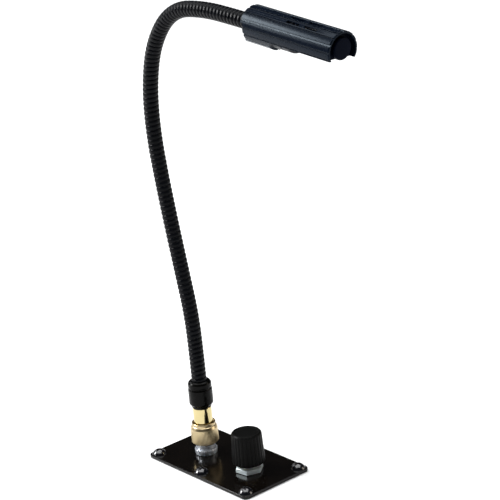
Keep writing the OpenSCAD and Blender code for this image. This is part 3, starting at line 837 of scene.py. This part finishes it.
def rib_radius(phase, s):
    """Round wire showing outside, with a narrow groove between turns."""
    u = abs(phase - 0.5) * 2
    bulge = math.sqrt(max(0.0, 1 - (u * 0.97) ** 2.6))
    return NECK_R - 0.02 - RIB_DEPTH * (1 - bulge)


def make_neck():
    """The ribbed tube, cut half way along each link. Each piece between two cuts spans a joint but is
    fastened to no body; the first piece rides on the plug and the last on the head."""
    cuts = [-OVERLAP_PLUG]
    cuts += [(REACH[i] + REACH[i + 1]) / 2 for i in range(len(LENGTHS))]
    cuts.append(REACH[-1] + OVERLAP_HEAD)
    for k in range(len(cuts) - 1):
        start, end = cuts[k], cuts[k + 1]
        bm = helical_tube(neck_point, rib_radius, RIB_PITCH, start, end)
        name = f"neck_coil_{k + 1}"
        last = k == len(cuts) - 2
        nodes = [] if last else [f"neck_link_{k + 1}"]
        body = CHAIN[0] if k == 0 else CHAIN[-1] if last else None
        piece = to_piece(name, bm, M["neck"], body, nodes, 50)
        if body is None:
            neck_point(start) * MM
            neck_point(end) * MM
            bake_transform(piece)


# ---------------------------------------------------------------- head

FLUTES = 16
GROOVE_DEPTH = 0.42
HALF_GROOVE = math.radians(2.4)
RAMP = math.radians(0.9)
RIM_ROUND = 0.5
WINDOW_L = 41.5
WINDOW_DROP = 3.9
WINDOW_CORNER_R = 4.5
SIDE_NOTCH_L = 1.6
SIDE_NOTCH = (258, 322)
VENT_W = 1.4
VENT_L = 8.5
VENT_ANGLES = (-33.75, -11.25, 11.25, 33.75)
VENT_FRONTS = (11.5, 23.0)
LAMP_COIL_Z = 38.7


def hood_radius(a):
    """Outer radius at an angle: flat-topped lands with softened shoulders between shallow grooves."""
    off = abs((a + math.pi / FLUTES) % (TAU / FLUTES) - math.pi / FLUTES)
    t = min(max((off - HALF_GROOVE) / RAMP, 0.0), 1.0)
    rise = t * t * (3 - 2 * t)
    return HOOD_R - GROOVE_DEPTH * (1 - rise)


def hood_angles():
    """Angles that put mesh edges on the grooves' floors, shoulders and lands."""
    marks = [0.0, HALF_GROOVE * 0.6, HALF_GROOVE]
    marks += [HALF_GROOVE + RAMP * k / 6 for k in range(1, 7)]
    flank = HALF_GROOVE + RAMP
    marks += [flank + (math.pi / FLUTES - flank) * k / 4 for k in range(1, 5)]
    pitch = TAU / FLUTES
    offsets = sorted(set([round(m, 9) for m in marks] + [round(pitch - m, 9) for m in marks[1:-1]]))
    return [i * pitch + o for i in range(FLUTES) for o in offsets]


def window_cutter():
    """Everything below the window's plane, with a round corner at its rear end."""
    rear = HOOD_L - WINDOW_L
    far = HOOD_R + 2
    c = WINDOW_CORNER_R
    outline = [(HOOD_L + 2, far), (rear, far)]
    for k in range(25):
        a = math.pi + TAU / 4 * k / 24
        outline.append((rear + c + c * math.cos(a), WINDOW_DROP + c + c * math.sin(a)))
    outline.append((HOOD_L + 2, WINDOW_DROP))
    cutter = prism(outline, -far, far)
    swap = Matrix(((0, 1, 0, 0), (0, 0, 1, 0), (1, 0, 0, 0), (0, 0, 0, 1)))
    bmesh.ops.transform(cutter, matrix=swap, verts=cutter.verts)
    return cutter


def sector_cutter(start, end, length):
    """A wedge that removes the wall between two angles, from the rear end forward."""
    far = HOOD_R * 2
    outline = [(0, 0)]
    for degrees in (start, (start + end) / 2, end):
        outline.append(polar(far, math.radians(degrees)))
    return prism(outline, -1, length)


def vent_cutter(degrees, front):
    """A slot with round ends along the hood, at an angle from the middle of its upper side."""
    r, far = VENT_W / 2, VENT_L / 2 - VENT_W / 2
    outline = []
    for side in (1, -1):
        for k in range(17):
            a = math.pi * k / 16
            outline.append((side * (far + r * math.sin(a)), side * r * math.cos(a)))
    cutter = prism(outline, HOOD_BORE_R - 1.5, HOOD_R + 1.5)
    upright = Matrix.Rotation(math.pi / 2, 4, "Y")
    middle = Matrix.Translation((0, 0, HOOD_L - front - VENT_L / 2))
    turn = Matrix.Rotation(math.pi + math.radians(degrees), 4, "Z")
    bmesh.ops.transform(cutter, matrix=middle @ turn @ upright, verts=cutter.verts)
    return cutter


def make_hood_shell():
    """The fluted tube with a rounded rim, open below, notched behind and vented on top."""
    angles = hood_angles()
    bm = bmesh.new()
    levels = [(0.0, HOOD_R)]
    for k in range(6):
        a = TAU / 4 * k / 5
        levels.append((HOOD_L - RIM_ROUND * (1 - math.sin(a)), HOOD_R - RIM_ROUND * (1 - math.cos(a))))
    rings = []
    for z, limit in levels:
        ring = []
        for a in angles:
            ring.append(bm.verts.new(polar(min(hood_radius(a), limit), a, z)))
        rings.append(ring)
    for z in (HOOD_L, 0.0):
        rings.append([bm.verts.new(polar(HOOD_BORE_R, a, z)) for a in angles])
    for ring, after in zip(rings, rings[1:] + rings[:1]):
        join_rings(bm, ring, after)
    cutters = [window_cutter(), sector_cutter(*SIDE_NOTCH, SIDE_NOTCH_L)]
    cutters.append(sector_cutter(-SIDE_NOTCH[1], -SIDE_NOTCH[0], SIDE_NOTCH_L))
    cutters += [vent_cutter(degrees, front) for degrees in VENT_ANGLES for front in VENT_FRONTS]
    bm = cut_and_bevel(bm, cutters, bevel=0.12, angle=50)
    to_piece("hood_shell_fluted", bm, M["hood"], "hood", ["hood_shell"], 40, HOOD_FRAME)


def make_hood_cap():
    """The web across the hood's front end, open along the window, with a round boss on it."""
    web_z, web_t, drop = HOOD_L - 4, 2.0, 3.8
    low = math.acos(drop / HOOD_BORE_R)
    r = HOOD_BORE_R - 0.02
    outline = [polar(r, low + (TAU - 2 * low) * k / 72) for k in range(73)]
    bm = cut_and_bevel(prism(outline, web_z, web_z + web_t), [], bevel=0.2, angle=30, segments=3)
    boss = [(0, web_z + 1, 0), (5.2, web_z + 1, 0), (5.2, HOOD_L - 0.1, 0.75), (0, HOOD_L - 0.1, 0)]
    join_bmesh(bm, lathe(rounded(boss, 10), 96), Matrix.Translation((-0.8, 0, 0)))
    to_piece("hood_cap_moulded", bm, M["cap"], "hood", ["hood_cap"], 40, HOOD_FRAME)


def make_socket():
    """The turned socket: a groove for the hood's ring, a fine line, the mouth and the bore."""
    r = HOOD_BORE_R - 0.1
    front = 30.4
    rear = [(5.4, 0.4, 0.1), (r, 0.4, 0.5)]
    ring_groove = [(r, 10, 0.08), (6.7, 10, 0.08), (6.7, 12, 0.08), (r, 12, 0.08)]
    line = [(r, front - 6, 0.1), (r - 0.25, front - 5.7, 0.1), (r - 0.25, front - 5.3, 0.1),
            (r, front - 5, 0.1)]
    mouth = [(r, front, 1.0), (5.2, front, 0.15), (5.2, front - 5, 0)]
    bore = [(3, front - 5, 0), (3, 6, 0), (5.4, 6, 0)]
    bm = lathe(rounded(rear + ring_groove + line + mouth + bore, 4), 96)
    to_piece("socket_body_turned", bm, M["socket"], "head", ["socket_body"], 30,
             HEAD_FRAME)


def make_filament():
    """A coil of wire between two posts, standing in the lamp's middle."""
    turns, coil_r, wire_r, post_r, post_foot = 9, 0.42, 0.075, 0.2, 33.7
    half = 1.75
    bm = bmesh.new()
    rings = []
    steps = turns * 20
    for i in range(steps + 1):
        t = i / steps
        a = TAU * turns * t
        x, z = polar(coil_r, a)
        centre = Vector((x, -half + 2 * half * t, LAMP_COIL_Z + z))
        out = Vector((math.cos(a), 0, math.sin(a)))
        side = Vector((0, 1, 0))
        ring = []
        for k in range(8):
            cos_k, sin_k = polar(1, TAU * k / 8)
            ring.append(bm.verts.new(centre + wire_r * (out * cos_k + side * sin_k)))
        rings.append(ring)
    for ring, after in zip(rings, rings[1:]):
        join_rings(bm, ring, after)
    bm.faces.new(rings[0])
    bm.faces.new(rings[-1])
    for y in (-2, 2):
        top = LAMP_COIL_Z + 0.3
        post = [(0, post_foot, 0), (post_r, post_foot, 0), (post_r, top, 0.15), (0, top, 0)]
        join_bmesh(bm, lathe(rounded(post, 4), 16), Matrix.Translation((0, y, 0)))
    to_piece("lamp_filament_coiled", bm, M["tungsten"], "lamp", ["lamp_filament"], 40,
             HEAD_FRAME)


# ---------------------------------------------------------------- CAD pieces that stay

KEPT = {
    "nickel": ["jack_body", "pot_bushing"],
    "nut": ["jack_washer", "pot_washer"],
    "ptfe": ["jack_insulator", "plug_insulator"],
    "gold": ["jack_contact", "knob_insert", "plug_pin", "socket_contacts"],
    "tag": ["jack_lug", "pot_terminals"],
    "pot_can": ["pot_housing", "pot_shaft", "lamp_pins"],
    "phenolic": ["pot_track"],
    "wire_red": ["signal_wire", "head_leads"],
    "wire_black": ["ground_wire"],
    "screw_steel": ["knob_set_screw"],
    "spring": ["pot_wiper", "wave_washer", "hood_ring"],
    "gasket": ["plug_gasket"],
    "socket": ["neck_ferrule"],
    "ceramic": ["lamp_socket", "lamp_base"],
    "glass": ["lamp_glass"],
}


def finish_kept_nodes():
    """Gives the CAD pieces that stay visible their materials."""
    for key, names in KEPT.items():
        for name in names:
            obj = frame["nodes"][name]
            obj.data.materials.clear()
            obj.data.materials.append(M[key])
            obj.data.shade_smooth()
            obj.data.set_sharp_from_angle(angle=math.radians(SMOOTH_ANGLE))


# ---------------------------------------------------------------- stage, in metres

FLOOR_R = 9.0
FLOOR_Z = -0.0003
LIGHT_TARGET = (0.02, 0, 0.12)


def make_floor():
    """A pale paper floor just under the plate, hiding what hangs below the plate."""
    bm = bmesh.new()
    bmesh.ops.create_circle(bm, cap_ends=True, radius=FLOOR_R, segments=96)
    mesh = bpy.data.meshes.new("floor")
    bm.to_mesh(mesh)
    bm.free()
    floor = bpy.data.objects.new("floor", mesh)
    floor.location = (0, 0, FLOOR_Z)
    bpy.context.scene.collection.objects.link(floor)
    g = Graph("floor_paper")
    haze = g.noise(g.mapped((1, 1, 1)), 3.0, 2.0)
    tint = g.blend_colors(g.spread(haze, 0, 1), (0.92, 0.92, 0.92), (0.94, 0.94, 0.94))
    g.feed("Base Color", tint)
    g.set(Roughness=0.8, Specular_IOR_Level=0.1)
    mesh.materials.append(g.material)


def area_light(name, place, size, power, color=(1, 1, 1)):
    data = bpy.data.lights.new(name, "AREA")
    data.shape = "RECTANGLE"
    data.size, data.size_y = size
    data.energy = power
    data.color = color
    light = bpy.data.objects.new(name, data)
    light.location = place
    light.rotation_mode = "QUATERNION"
    aim = Vector(LIGHT_TARGET) - Vector(place)
    light.rotation_quaternion = aim.to_track_quat("-Z", "Y")
    bpy.context.scene.collection.objects.link(light)


def make_lights():
    area_light("key_softbox", (-1.15, -0.9, 1.15), (0.65, 0.5), 25)
    area_light("key_core", (-1.05, -1.05, 0.72), (0.2, 0.2), 9)
    area_light("back_softbox", (-2.1, -0.3, 1.4), (1.4, 1.0), 9, (0.95, 0.97, 1.0))
    area_light("right_softbox", (1.0, 1.2, 0.5), (0.7, 0.7), 5, (1.0, 0.9, 0.78))
    area_light("top_softbox", (-0.1, 0.1, 2.4), (2.6, 2.6), 80, (0.98, 0.99, 1.0))
    world = bpy.data.worlds.new("studio")
    world.use_nodes = True
    background = world.node_tree.nodes["Background"]
    background.inputs["Color"].default_value = (0.9, 0.94, 1.0, 1)
    background.inputs["Strength"].default_value = 0.03
    bpy.context.scene.world = world
    bpy.context.scene.view_settings.view_transform = "Standard"


# ---------------------------------------------------------------- build

make_plate()
make_screws()
make_dimmer_nut()
make_jack_nut()
make_knob()
make_coupling_ring()
make_plug_barrel()
make_sleeve()
make_neck()
make_hood_shell()
make_hood_cap()
make_socket()
make_filament()
finish_kept_nodes()
make_floor()
make_lights()
